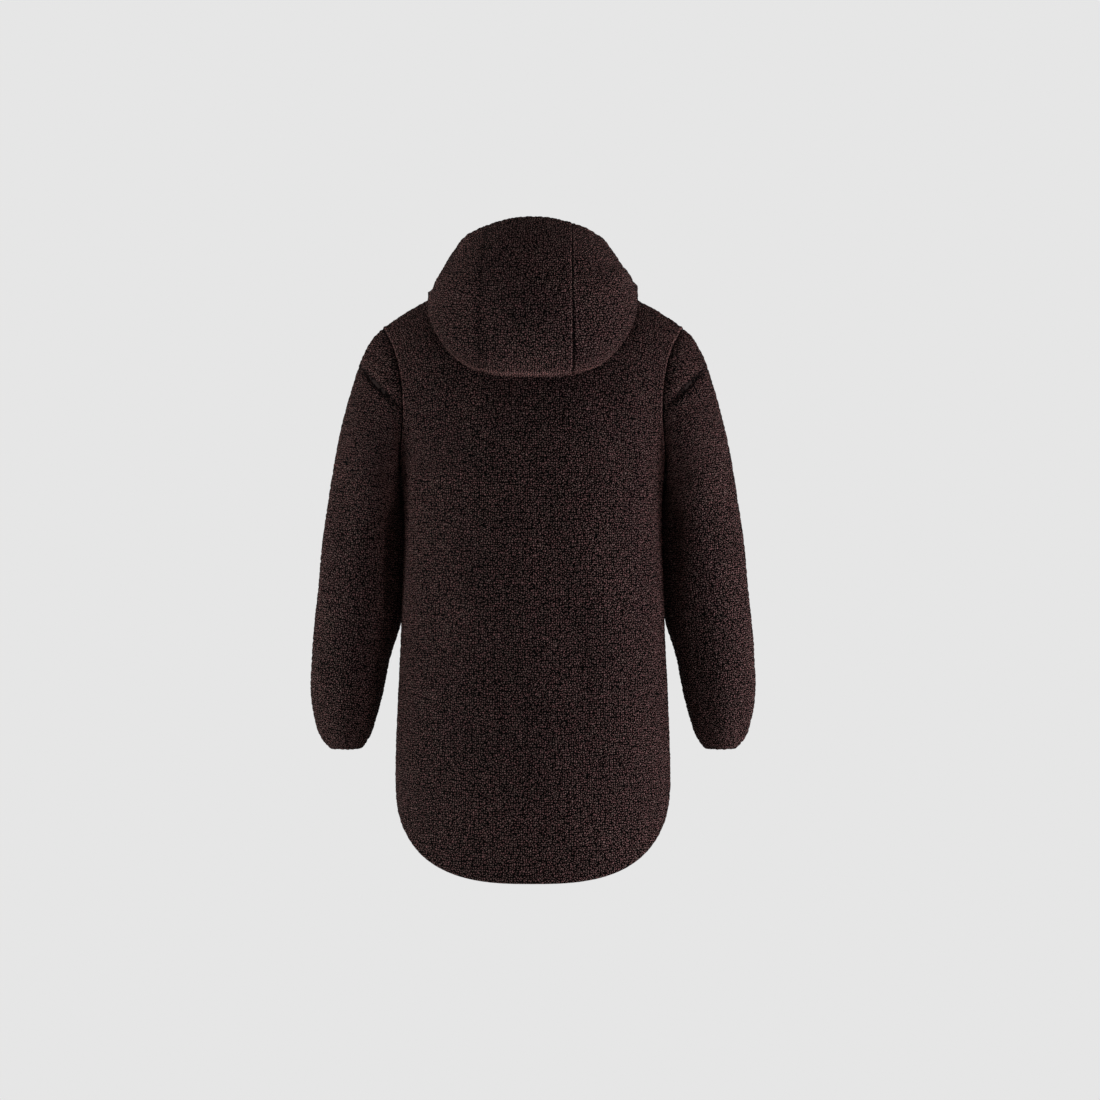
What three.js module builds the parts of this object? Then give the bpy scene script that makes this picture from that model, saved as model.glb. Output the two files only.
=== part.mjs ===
import * as THREE from "three";

// A long hooded pullover in curly pile fleece, in the shape it takes when worn, with nobody in it.
// Millimetres. +X is the wearer's right, +Y the wearer's front, +Z up.
// The origin lies midway between the neck ends of the two shoulder seams.
// Each piece is one layer of cloth with its pile: back, front, two sleeves, and a hood made of a
// centre strip and two sides that meet at the front of the neck.
// The hood is down. It stands up at the neck, rolls over, lies on the back, folds along its lowest
// line and comes back up to the rim, so that it is a pouch open at the top.

const CLOTH = 4;
const SEAM_GAP = 0.3;
const FLEECE = { color: 0x231918, roughness: 0.95, metalness: 0 };

// Levels climb the body from the hem, over the shoulder to the ridge where the shoulder seam runs.
const UNDERARM = -275;
const RIDGE = 61;
const ROUNDNESS = 2.4;
const SHOULDER_FALL = 2.09;
const GIRTH_HALF = 190;
const GIRTH_DEPTH = 125;
const NECK_HALF = 90;
const NECK_FALL_BACK = 66;
const NECK_FALL_FRONT = 129;

// The curved tail: height of its notches at the side seams, how far it drops in the middle, the
// power that rounds it and how softly the notches are rounded.
const HEM_SIDE = -719.5;
const HEM_DROP_BACK = 135.5;
const HEM_DROP_FRONT = 120;
const HEM_ROUNDNESS = 2.8;
const HEM_NOTCH = 0.1;

// The armhole runs in from the side seam by a share of the way round to the middle.
const ARMHOLE_SCOOP = 0.305;
const ARMHOLE_BIAS = 0.75;
const ARMHOLE_TIP = 0.14;

// The sleeve leaves the armhole over this length.
const SLEEVE_EASE = 80;

const BODY_STEPS = 12;
const ARMHOLE_STEPS = 14;
const SHOULDER_COLUMNS = 5;
const STRIP_COLUMNS = 8;
const HOOD_BACK_COLUMNS = 5;
const HOOD_FRONT_COLUMNS = 7;

// Body: middle and edge are the heights of a level at the centre line and at the side,
// half is its half width, back and front its depths from the side seam plane.
const BODY = table("level middle edge half back front", [
  [-880, -880, -880, 196, 134, 132],
  [-700, -700, -700, 198.5, 131, 131],
  [-600, -600, -600, 195, 128, 130],
  [-487, -487, -487, 190, 124, 128],
  [-275, -275, -275, 190, 121, 131],
  [-150, -152, -172, 214, 119, 120],
  [-83, -88, -116, 221, 104, 96],
  [-13, -30, -84, 223, 62, 54],
  [61, 12, -68, 223, 0, 0],
]);

// Soft folds on the body: side -1 is the back, lean is degrees from upright.
const BODY_FOLDS = table("side x z length width lean rise", [
  [-1, -128, -225, 95, 20, 24, -5],
  [-1, 124, -232, 105, 22, -20, -6],
  [-1, -96, -560, 150, 34, 5, 4],
  [-1, 70, -610, 170, 40, -7, -4],
  [1, -120, -240, 100, 20, 30, -6],
  [1, 132, -228, 90, 22, -26, -5],
  [1, -60, -520, 160, 38, 8, -5],
  [1, 84, -580, 150, 36, -4, 4],
]);

// Sleeve: along is the way down from the armhole; x, y and z are the middle of a section, tilt the
// turn of its thick axis from upright, thick and depth its half sizes.
const SLEEVE = table("along x y z tilt thick depth", [
  [0, 202.5, 0, -168.5, 6.7, 107.2, 70],
  [18, 211.3, 2, -178, 9.9, 103, 76],
  [42, 220.2, 8, -202, 16.8, 97, 81],
  [65, 225.2, 14, -224.5, 21.3, 92.8, 84],
  [105, 233.2, 22, -264, 32.1, 80.6, 86],
  [145, 239.3, 29, -303, 45.2, 70, 85],
  [187, 244, 34, -344.5, 59.3, 63.6, 83],
  [231, 248, 37, -388.5, 73, 61.9, 81],
  [278, 250.8, 38, -434.7, 85, 62.1, 79],
  [330, 256, 38, -487, 90, 63, 76],
  [389, 266.8, 37, -545, 90, 57, 71],
  [447, 272.7, 36, -603, 90, 51.2, 63],
  [476, 274.3, 35, -632, 90, 44.8, 56],
  [505, 274.5, 34, -661, 90, 34.2, 43],
  [514, 274, 33, -670, 90, 27.6, 36],
  [522, 273.3, 33, -676.5, 90, 21.5, 29],
]);
const SLEEVE_RINGS = [
  0, 9, 20, 33, 48, 66, 90, 120, 155, 195, 240, 290, 340, 390, 435, 468, 490, 505, 514, 522,
];

// Folds on the sleeves: turn is degrees round from the underarm seam by way of the back. A fold
// that reaches over that seam stands twice, a full turn apart.
const SLEEVE_FOLDS = table("turn along length width lean rise", [
  [62, 86, 46, 13, 38, -7],
  [38, 150, 60, 14, 24, -5],
  [92, 262, 52, 16, 72, -4],
  [300, 92, 50, 14, -34, -7],
  [268, 250, 48, 16, -68, -4],
  [338, 150, 118, 22, 0, 12],
  [-22, 150, 118, 22, 0, 12],
  [336, 58, 40, 26, 0, 16],
  [-24, 58, 40, 26, 0, 16],
  [33, 225, 105, 22, 0, -13],
  [393, 225, 105, 22, 0, -13],
]);

// Hood cloth that follows the body, down to the lowest fold and round it: reach is the share of
// the way round at the side, falls are measured down from the ridge, backset moves the side
// behind it, lifts are clearances above the body.
const HOOD_UNDER = table("at reach fallBack fallFront backset liftBack liftSide liftFront plan", [
  [0, 0, 66, 129, 0, 0, 0, 0, 1],
  [18, 0.008, 69, 128.5, 0, 17, 13, 9, 1],
  [42, 0.038, 90, 128, 2, 22, 15, 18, 0.95],
  [110, 0.113, 154, 127, 12, 10, 6, 28, 0.87],
  [196, 0.183, 206, 125, 22, 22, 5, 38, 0.79],
  [250, 0.188, 188, 121, 21, 64, 18, 47, 0.79],
]);

// Hood cloth from the fold up to the rim and just over it: plan and height are the powers that
// round it in plan and in height.
const HOOD_OVER = table("at half sideY backY frontY backZ sideZ frontZ plan height", [
  [305, 140, -30, -199, 116, -62, 3, -32, 0.9, 2.4],
  [375, 129, -25, -187, 110, 8, 23, -28, 1, 2.4],
  [440, 114, -22, -150, 103, 60, 46, -25, 1, 2.3],
  [497, 97, -14, -104, 97, 85, 62, -25, 1, 2.05],
  [515, 89, -10, -90, 92, 78, 57, -28, 1, 2.05],
]);
const HOOD_ROWS = [
  0, 9, 18, 30, 44, 64, 90, 120, 150, 175, 192, 208, 226, 250, 277, 305, 340, 375, 408, 440, 470,
  497, 515,
];

// How soon round the neck the lifts leave their value at the side.
const LIFT_SPREAD = 1.6;

// Distances of the two strip seams from the centre line.
const STRIP_SEAMS = table("at right left", [
  [0, 45, 45],
  [110, 51, 62],
  [196, 56, 73],
  [375, 56, 70],
  [515, 56, 60],
]);

function table(heads, rows) {
  const names = heads.split(" ");
  return rows.map((row) => Object.fromEntries(names.map((name, i) => [name, row[i]])));
}

function mix(a, b, t) {
  return a + (b - a) * t;
}

function clamp01(t) {
  return Math.min(1, Math.max(0, t));
}

function easeInOut(t) {
  const held = clamp01(t);
  return held * held * (3 - 2 * held);
}

function radians(degrees) {
  return (degrees * Math.PI) / 180;
}

// Smooth curve through the values of one column, read at a place between the rows.
function curveThrough(places, values, place) {
  const last = places.length - 1;
  let i = 0;
  while (i < last - 1 && place > places[i + 1]) i += 1;
  const rise = (k) => (values[k + 1] - values[k]) / (places[k + 1] - places[k]);
  const slope = (k) => {
    if (k === 0) return rise(0);
    if (k === last) return rise(last - 1);
    const before = places[k] - places[k - 1];
    const after = places[k + 1] - places[k];
    return (after * rise(k - 1) + before * rise(k)) / (before + after);
  };
  const span = places[i + 1] - places[i];
  const t = (place - places[i]) / span;
  const t2 = t * t;
  const t3 = t2 * t;
  return (
    values[i] * (2 * t3 - 3 * t2 + 1) +
    slope(i) * span * (t3 - 2 * t2 + t) +
    values[i + 1] * (3 * t2 - 2 * t3) +
    slope(i + 1) * span * (t3 - t2)
  );
}

function read(rows, key, name, place) {
  return curveThrough(rows.map((row) => row[key]), rows.map((row) => row[name]), place);
}

// The body rolls over the ridge: a row beyond it repeats the last row of the far side.
const ROLL = BODY[BODY.length - 2];
const BODY_OVER = [
  ...BODY,
  { ...ROLL, level: 2 * RIDGE - ROLL.level, back: -ROLL.front, front: -ROLL.back },
];

// A quarter of the rounded cross-section, stepped evenly by length from the middle to the side.
const QUARTER = quarterSection(720);

function quarterSection(steps) {
  const marks = [{ share: 0, across: 0, through: 1 }];
  for (let i = 1; i <= steps; i += 1) {
    const angle = (i / steps) * (Math.PI / 2);
    const across = Math.sin(angle) ** (2 / ROUNDNESS);
    const through = Math.max(0, Math.cos(angle)) ** (2 / ROUNDNESS);
    const past = marks[i - 1];
    const wide = (across - past.across) * GIRTH_HALF;
    const deep = (through - past.through) * GIRTH_DEPTH;
    marks.push({ share: past.share + Math.hypot(wide, deep), across, through });
  }
  const whole = marks[steps].share;
  return marks.map((mark) => ({ ...mark, share: mark.share / whole }));
}

function quarterAt(key, value) {
  let low = 0;
  let high = QUARTER.length - 1;
  while (high - low > 1) {
    const middle = (low + high) >> 1;
    if (QUARTER[middle][key] > value) high = middle;
    else low = middle;
  }
  const a = QUARTER[low];
  const b = QUARTER[high];
  const t = clamp01((value - a[key]) / (b[key] - a[key]));
  return {
    share: mix(a.share, b.share, t),
    across: mix(a.across, b.across, t),
    through: mix(a.through, b.through, t),
  };
}

const NECK_SHARE = quarterAt("across", NECK_HALF / BODY[BODY.length - 1].half).share;

function foldRise(rows, a, b, keyA, keyB) {
  let rise = 0;
  for (const fold of rows) {
    const lean = radians(fold.lean);
    const da = a - fold[keyA];
    const db = b - fold[keyB];
    const along = (db * Math.cos(lean) + da * Math.sin(lean)) / fold.length;
    const beside = (da * Math.cos(lean) - db * Math.sin(lean)) / fold.width;
    rise += fold.rise * Math.exp(-along * along - beside * beside);
  }
  return rise;
}

function bodyPoint(side, share, level) {
  const { across, through } = quarterAt("share", Math.abs(share));
  const x = Math.sign(share) * across * read(BODY_OVER, "level", "half", level);
  const middle = read(BODY_OVER, "level", "middle", level);
  const edge = read(BODY_OVER, "level", "edge", level);
  const z = mix(middle, edge, across ** SHOULDER_FALL);
  const depth = read(BODY_OVER, "level", side < 0 ? "back" : "front", level);
  const folds = BODY_FOLDS.filter((fold) => fold.side === side);
  const folded = depth * (1 + foldRise(folds, x, z, "x", "z") / GIRTH_DEPTH);
  return new THREE.Vector3(x, side * folded * through, z);
}

// The body's outward direction, by small steps either way on it.
function bodyNormal(side, share, level) {
  const shareStep = 0.004;
  const levelStep = 2;
  const acrossway = bodyPoint(side, share + shareStep, level);
  acrossway.sub(bodyPoint(side, share - shareStep, level));
  const upward = bodyPoint(side, share, level + levelStep);
  upward.sub(bodyPoint(side, share, level - levelStep));
  return acrossway.cross(upward).multiplyScalar(-side).normalize();
}

function armholeShare(t) {
  return 1 - (ARMHOLE_SCOOP * Math.sin(Math.PI * t ** ARMHOLE_BIAS) + ARMHOLE_TIP * t ** 3);
}

function armholePoint(side, t) {
  return bodyPoint(side, armholeShare(t), mix(UNDERARM, RIDGE, t));
}

function hemLevel(side, share) {
  const { across } = quarterAt("share", Math.abs(share));
  const drop = side < 0 ? HEM_DROP_BACK : HEM_DROP_FRONT;
  const round = Math.max(0, 1 - across ** HEM_ROUNDNESS) ** (1 / HEM_ROUNDNESS);
  const soft = (value) => Math.hypot(value, HEM_NOTCH) - HEM_NOTCH;
  return HEM_SIDE - (drop * soft(round)) / soft(1);
}

// Hood turns are degrees round the neck: 0 at the back, 90 at the shoulder, 180 at the front,
// negative on the wearer's left.
function hoodUnder(row, turn) {
  const back = Math.abs(turn) < 90;
  const sine = Math.sin(radians(turn));
  const cosine = Math.abs(Math.cos(radians(turn)));
  const run = back ? row.fallBack : -row.fallFront;
  const fall = run * cosine ** row.plan + row.backset * sine * sine;
  const side = fall > 0 ? -1 : 1;
  const share = Math.sign(sine) * (NECK_SHARE + row.reach) * Math.abs(sine) ** row.plan;
  const level = RIDGE - Math.abs(fall);
  const lift = mix(row.liftSide, back ? row.liftBack : row.liftFront, cosine ** LIFT_SPREAD);
  const point = bodyPoint(side, share, level);
  if (lift > 0) point.addScaledVector(bodyNormal(side, share, level), lift);
  return point;
}

function hoodOver(row, turn) {
  const back = Math.abs(turn) < 90;
  const sine = Math.sin(radians(turn));
  const cosine = Math.abs(Math.cos(radians(turn)));
  return new THREE.Vector3(
    Math.sign(sine) * row.half * Math.abs(sine) ** row.plan,
    mix(row.sideY, back ? row.backY : row.frontY, cosine ** row.plan),
    mix(row.sideZ, back ? row.backZ : row.frontZ, cosine ** row.height),
  );
}

const HOOD_PLACES = [...HOOD_UNDER, ...HOOD_OVER].map((row) => row.at);

// The hood cloth along one turn, as a curve function of the way from the neck seam to the rim.
function hoodCurve(turn) {
  const held = Math.abs(turn) === 180 ? 180 : turn;
  const marks = [
    ...HOOD_UNDER.map((row) => hoodUnder(row, held)),
    ...HOOD_OVER.map((row) => hoodOver(row, held)),
  ];
  if (held === 180) marks.forEach((mark) => mark.setX(0));
  const axis = (name) => marks.map((mark) => mark[name]);
  const [xs, ys, zs] = [axis("x"), axis("y"), axis("z")];
  return (at) =>
    new THREE.Vector3(
      curveThrough(HOOD_PLACES, xs, at),
      curveThrough(HOOD_PLACES, ys, at),
      curveThrough(HOOD_PLACES, zs, at),
    );
}

// The turn at which the hood cloth is as far from the centre line as a strip seam.
function stripTurn(hand, at) {
  const target = read(STRIP_SEAMS, "at", hand > 0 ? "right" : "left", at);
  let low = 0;
  let high = 80;
  for (let i = 0; i < 30; i += 1) {
    const middle = (low + high) / 2;
    if (hoodCurve(middle)(at).x > target) high = middle;
    else low = middle;
  }
  return (hand * (low + high)) / 2;
}

function stripTurns(at) {
  const from = stripTurn(-1, at);
  const to = stripTurn(1, at);
  return steps(from, to, STRIP_COLUMNS);
}

// Turns of a hood side, from its strip seam to the front of the neck.
function sideTurns(hand, at) {
  const seam = stripTurn(hand, at);
  return [
    ...steps(seam, hand * 90, HOOD_BACK_COLUMNS).slice(0, -1),
    ...steps(hand * 90, hand * 180, HOOD_FRONT_COLUMNS),
  ];
}

function steps(from, to, count) {
  return Array.from({ length: count + 1 }, (_, i) => mix(from, to, i / count));
}

// The neck columns of a body panel, from the wearer's left to right, match the hood's columns.
function neckTurns(side) {
  const left = sideTurns(-1, 0);
  const right = sideTurns(1, 0);
  if (side > 0) {
    const frontOf = (turns) => turns.filter((turn) => Math.abs(turn) >= 90);
    return [...frontOf(left), ...frontOf(right).reverse().slice(1)];
  }
  const backOf = (turns) => turns.filter((turn) => Math.abs(turn) <= 90);
  const strip = stripTurns(0);
  return [...backOf(left).reverse(), ...strip.slice(1, -1), ...backOf(right)];
}

function panelTops(side) {
  const tip = armholeShare(1);
  const fall = side < 0 ? NECK_FALL_BACK : NECK_FALL_FRONT;
  const shoulder = steps(tip, NECK_SHARE, SHOULDER_COLUMNS).slice(0, -1);
  const neck = neckTurns(side).map((turn) => ({
    share: Math.abs(turn) === 180 ? 0 : NECK_SHARE * Math.sin(radians(turn)),
    level: Math.abs(turn) === 90 ? RIDGE : RIDGE - fall * Math.abs(Math.cos(radians(turn))),
  }));
  return [
    ...shoulder.map((share) => ({ share: -share, level: RIDGE })),
    ...neck,
    ...shoulder.reverse().map((share) => ({ share, level: RIDGE })),
  ];
}

function panelGrid(side) {
  const tops = panelTops(side);
  const tip = armholeShare(1);
  const spread = steps(-1, 1, tops.length - 1);
  const grid = [];
  for (let i = 0; i < BODY_STEPS; i += 1) {
    grid.push(
      spread.map((share) =>
        bodyPoint(side, share, mix(hemLevel(side, share), UNDERARM, i / BODY_STEPS)),
      ),
    );
  }
  for (let k = 0; k <= ARMHOLE_STEPS; k += 1) {
    const t = k / ARMHOLE_STEPS;
    grid.push(
      tops.map((top, j) => {
        const share = mix(spread[j], top.share / tip, t) * armholeShare(t);
        return bodyPoint(side, share, mix(UNDERARM, top.level, t));
      }),
    );
  }
  return side < 0 ? grid : grid.map((row) => row.reverse());
}

function sleeveSection(turn, along) {
  const at = (name) => read(SLEEVE, "along", name, along);
  const tilt = radians(at("tilt"));
  const degrees = (turn * 180) / Math.PI;
  const rise = foldRise(SLEEVE_FOLDS, degrees, along, "turn", "along");
  const thick = (at("thick") + rise) * Math.cos(turn);
  return new THREE.Vector3(
    at("x") - thick * Math.sin(tilt),
    at("y") - (at("depth") + rise) * Math.sin(turn),
    at("z") - thick * Math.cos(tilt),
  );
}

// Rings run from the underarm round the back, over the top and down the front.
function sleeveGrid(hand) {
  const around = 2 * ARMHOLE_STEPS;
  const grid = SLEEVE_RINGS.map((along) =>
    Array.from({ length: around }, (_, k) => {
      const turn = (k / around) * 2 * Math.PI;
      const side = k <= ARMHOLE_STEPS ? -1 : 1;
      const t = side < 0 ? k / ARMHOLE_STEPS : (around - k) / ARMHOLE_STEPS;
      const point = sleeveSection(turn, along);
      const lead = armholePoint(side, t).sub(sleeveSection(turn, 0));
      point.addScaledVector(lead, 1 - easeInOut(along / SLEEVE_EASE));
      return point.setX(hand * point.x);
    }),
  );
  return hand > 0 ? grid.map((row) => row.reverse()) : grid;
}

function hoodGrid(turnsAt) {
  return HOOD_ROWS.map((at) => turnsAt(at).map((turn) => hoodCurve(turn)(at)));
}

// Every sheet is a grid of points on the outside of the cloth. Its seams name the grid edges
// that are sewn to another piece; the other edges are open.
const SHEETS = [
  { name: "back_panel", grid: panelGrid(-1), seams: ["first", "last", "end"] },
  { name: "front_panel", grid: panelGrid(1), seams: ["first", "last", "end"] },
  { name: "sleeve_right", grid: sleeveGrid(1), seams: ["start"], closed: true },
  { name: "sleeve_left", grid: sleeveGrid(-1), seams: ["start"], closed: true },
  { name: "hood_centre", grid: hoodGrid(stripTurns), seams: ["first", "last", "start"] },
  {
    name: "hood_right",
    grid: hoodGrid((at) => sideTurns(1, at)),
    seams: ["first", "last", "start"],
  },
  {
    name: "hood_left",
    grid: hoodGrid((at) => sideTurns(-1, at).reverse()),
    seams: ["first", "last", "start"],
  },
];

function spot(point) {
  return `${point.x.toFixed(2)} ${point.y.toFixed(2)} ${point.z.toFixed(2)}`.replace(/-0\.00/g, "0.00");
}

function cellsOf(sheet) {
  const columns = sheet.grid[0].length;
  const cells = [];
  for (let i = 0; i + 1 < sheet.grid.length; i += 1) {
    for (let j = 0; j + (sheet.closed ? 0 : 1) < columns; j += 1) {
      cells.push([i, j, i + 1, (j + 1) % columns]);
    }
  }
  return cells;
}

// Outward directions, weighted by angle and shared where pieces meet, so that their walls end on
// one common line.
function gatherNormals(sheets) {
  const sums = new Map();
  for (const sheet of sheets) {
    for (const [i, j, i2, j2] of cellsOf(sheet)) {
      const corners = [sheet.grid[i][j], sheet.grid[i][j2], sheet.grid[i2][j2], sheet.grid[i2][j]];
      corners.forEach((corner, k) => {
        const ahead = corners[(k + 1) % 4].clone().sub(corner);
        const behind = corners[(k + 3) % 4].clone().sub(corner);
        const angle = ahead.angleTo(behind);
        const key = spot(corner);
        const sum = sums.get(key) ?? { facing: new THREE.Vector3(), size: 0 };
        sum.facing.addScaledVector(ahead.cross(behind).normalize(), angle);
        sum.size += angle;
        sums.set(key, sum);
      });
    }
  }
  return sums;
}

// Edge vertices of a sewn edge draw back from the seam by half the gap.
function seamPull(sheet, i, j, normal) {
  const { grid, seams, closed } = sheet;
  const lastRow = grid.length - 1;
  const lastColumn = grid[0].length - 1;
  const pull = new THREE.Vector3();
  const draw = (ahead, behind, inward) => {
    const along = ahead.clone().sub(behind);
    const away = normal.clone().cross(along).normalize();
    const inside = inward.clone().sub(grid[i][j]);
    pull.addScaledVector(away, Math.sign(away.dot(inside)) * (SEAM_GAP / 2));
  };
  const alongColumn = (inner) =>
    draw(grid[Math.min(i + 1, lastRow)][j], grid[Math.max(i - 1, 0)][j], grid[i][inner]);
  const alongRow = (inner) => {
    const ahead = closed ? (j + 1) % (lastColumn + 1) : Math.min(j + 1, lastColumn);
    const behind = closed ? (j + lastColumn) % (lastColumn + 1) : Math.max(j - 1, 0);
    draw(grid[i][ahead], grid[i][behind], grid[inner][j]);
  };
  if (j === 0 && seams.includes("first")) alongColumn(1);
  if (j === lastColumn && seams.includes("last")) alongColumn(lastColumn - 1);
  if (i === 0 && seams.includes("start")) alongRow(1);
  if (i === lastRow && seams.includes("end")) alongRow(lastRow - 1);
  return pull;
}

// One closed wall: the outer sheet, the inner sheet one cloth below it, and the edges between.
function wallGeometry(sheet, normals) {
  const { grid, closed } = sheet;
  const rows = grid.length;
  const columns = grid[0].length;
  const outer = [];
  const inner = [];
  for (let i = 0; i < rows; i += 1) {
    for (let j = 0; j < columns; j += 1) {
      const { facing, size } = normals.get(spot(grid[i][j]));
      const depth = CLOTH * Math.min(1.4, size / facing.length());
      const normal = facing.clone().normalize();
      const top = grid[i][j].clone().add(seamPull(sheet, i, j, normal));
      outer.push(top);
      inner.push(top.clone().addScaledVector(normal, -depth));
    }
  }
  const points = [...outer, ...inner];
  const faces = [];
  const quad = (a, b, c, d) => {
    if (points[a].distanceTo(points[c]) <= points[b].distanceTo(points[d])) {
      faces.push(a, b, c, a, c, d);
    } else {
      faces.push(a, b, d, b, c, d);
    }
  };
  const index = (i, j) => i * columns + j;
  const under = outer.length;
  for (const [i, j, i2, j2] of cellsOf(sheet)) {
    quad(index(i, j), index(i, j2), index(i2, j2), index(i2, j));
    quad(under + index(i, j), under + index(i2, j), under + index(i2, j2), under + index(i, j2));
  }
  const edge = (a, b) => quad(a, under + a, under + b, b);
  for (let j = 0; j + (closed ? 0 : 1) < columns; j += 1) {
    const next = (j + 1) % columns;
    edge(index(0, j), index(0, next));
    edge(index(rows - 1, next), index(rows - 1, j));
  }
  if (!closed) {
    for (let i = 0; i + 1 < rows; i += 1) {
      edge(index(i + 1, 0), index(i, 0));
      edge(index(i, columns - 1), index(i + 1, columns - 1));
    }
  }
  const geometry = new THREE.BufferGeometry();
  const flat = points.flatMap((point) => [point.x, point.y, point.z]);
  geometry.setAttribute("position", new THREE.Float32BufferAttribute(flat, 3));
  geometry.setIndex(faces);
  geometry.computeVertexNormals();
  return geometry;
}

const pullover = new THREE.Group();
pullover.name = "sherpa_fleece_pullover";
const normals = gatherNormals(SHEETS);
for (const sheet of SHEETS) {
  const material = new THREE.MeshStandardMaterial(FLEECE);
  const mesh = new THREE.Mesh(wallGeometry(sheet, normals), material);
  mesh.name = sheet.name;
  pullover.add(mesh);
}

export default pullover;
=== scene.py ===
import bpy
import numpy as np
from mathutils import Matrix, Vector


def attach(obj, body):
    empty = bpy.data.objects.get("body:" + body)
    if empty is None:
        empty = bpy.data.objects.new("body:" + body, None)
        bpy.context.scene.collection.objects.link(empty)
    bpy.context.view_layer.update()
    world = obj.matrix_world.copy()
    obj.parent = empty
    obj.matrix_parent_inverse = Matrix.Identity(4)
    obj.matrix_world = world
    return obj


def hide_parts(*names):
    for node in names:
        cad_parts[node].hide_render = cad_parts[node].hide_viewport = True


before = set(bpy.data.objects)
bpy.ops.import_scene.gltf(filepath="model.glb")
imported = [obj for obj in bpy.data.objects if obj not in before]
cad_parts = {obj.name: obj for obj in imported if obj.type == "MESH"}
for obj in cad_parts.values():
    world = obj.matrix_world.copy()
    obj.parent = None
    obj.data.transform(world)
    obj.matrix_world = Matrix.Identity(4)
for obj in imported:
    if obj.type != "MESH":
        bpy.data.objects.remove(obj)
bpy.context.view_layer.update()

# Everything below is worked out in millimetres and made in metres at the end.
MM = 0.001
# Thickness of the fleece under its pile, and how many outer cells lie over each inner one.
CLOTH = 3.6
COARSE = 4


def table(heads, rows):
    """A dict from column name to array."""
    return dict(zip(heads.split(), np.array(rows, float).T))


# The garment's own sizes: body, sleeve and hood sections.
UNDERARM, RIDGE = -275.0, 61.0
ROUNDNESS, SHOULDER_FALL = 2.4, 2.09
GIRTH_HALF, GIRTH_DEPTH = 190.0, 125.0
NECK_HALF = 90.0
NECK_FALL = {-1: 66.0, 1: 129.0}
HEM_SIDE, HEM_ROUNDNESS, HEM_NOTCH = -719.5, 2.8, 0.1
HEM_DROP = {-1: 135.5, 1: 120.0}
ARMHOLE_SCOOP, ARMHOLE_BIAS, ARMHOLE_TIP = 0.305, 0.75, 0.14
SLEEVE_EASE = 80.0
LIFT_SPREAD = 1.6

BODY = table("level middle edge half back front", [
    (-880, -880, -880, 196, 134, 132),
    (-700, -700, -700, 198.5, 131, 131),
    (-600, -600, -600, 195, 128, 130),
    (-487, -487, -487, 190, 124, 128),
    (-275, -275, -275, 190, 121, 131),
    (-150, -152, -172, 214, 119, 120),
    (-83, -88, -116, 221, 104, 96),
    (-13, -30, -84, 223, 62, 54),
    (61, 12, -68, 223, 0, 0),
    (135, -30, -84, 223, -54, -62),
])
SLEEVE = table("along x y z tilt thick depth", [
    (0, 202.5, 0, -168.5, 6.7, 107.2, 70),
    (18, 211.3, 2, -178, 9.9, 103, 76),
    (42, 220.2, 8, -202, 16.8, 97, 81),
    (65, 225.2, 14, -224.5, 21.3, 92.8, 84),
    (105, 233.2, 22, -264, 32.1, 80.6, 86),
    (145, 239.3, 29, -303, 45.2, 70, 85),
    (187, 244, 34, -344.5, 59.3, 63.6, 83),
    (231, 248, 37, -388.5, 73, 61.9, 81),
    (278, 250.8, 38, -434.7, 85, 62.1, 79),
    (330, 256, 38, -487, 90, 63, 76),
    (389, 266.8, 37, -545, 90, 57, 71),
    (447, 272.7, 36, -603, 90, 51.2, 63),
    (476, 274.3, 35, -632, 90, 44.8, 56),
    (505, 274.5, 34, -661, 90, 34.2, 43),
    (514, 274, 33, -670, 90, 27.6, 36),
    (522, 273.3, 33, -676.5, 90, 21.5, 29),
])
HOOD_UNDER = table("at reach fallBack fallFront backset liftBack liftSide liftFront plan sag", [
    (0, 0, 66, 129, 0, 0, 0, 0, 1, 0),
    (18, 0.008, 69, 128.5, 0, 17, 13, 9, 1, 0),
    (42, 0.038, 90, 128, 2, 22, 15, 18, 0.95, 0),
    (110, 0.113, 154, 127, 12, 10, 6, 28, 0.87, 0),
    (196, 0.183, 206, 125, 22, 22, 5, 38, 0.79, 0),
    (250, 0.188, 188, 121, 21, 64, 18, 47, 0.79, 9),
])
HOOD_OVER = table("at half sideY backY frontY backZ sideZ frontZ plan height sag", [
    (305, 142.5, -30, -199, 116, -62, 3, -32, 0.9, 2.4, 10),
    (375, 129, -25, -187, 110, 8, 23, -28, 1, 2.4, 4),
    (440, 114, -22, -150, 103, 60, 46, -25, 1, 2.3, 1),
    (497, 97, -14, -104, 97, 85, 62, -25, 1, 2.05, 0),
    (515, 89, -10, -90, 92, 78, 57, -28, 1, 2.05, 0),
])
HOOD_PLACES = np.concatenate([HOOD_UNDER["at"], HOOD_OVER["at"]])
STRIP_SEAMS = table("at right left", [
    (0, 45, 45), (110, 51, 62), (196, 56, 73), (375, 56, 70), (515, 56, 60),
])

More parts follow.
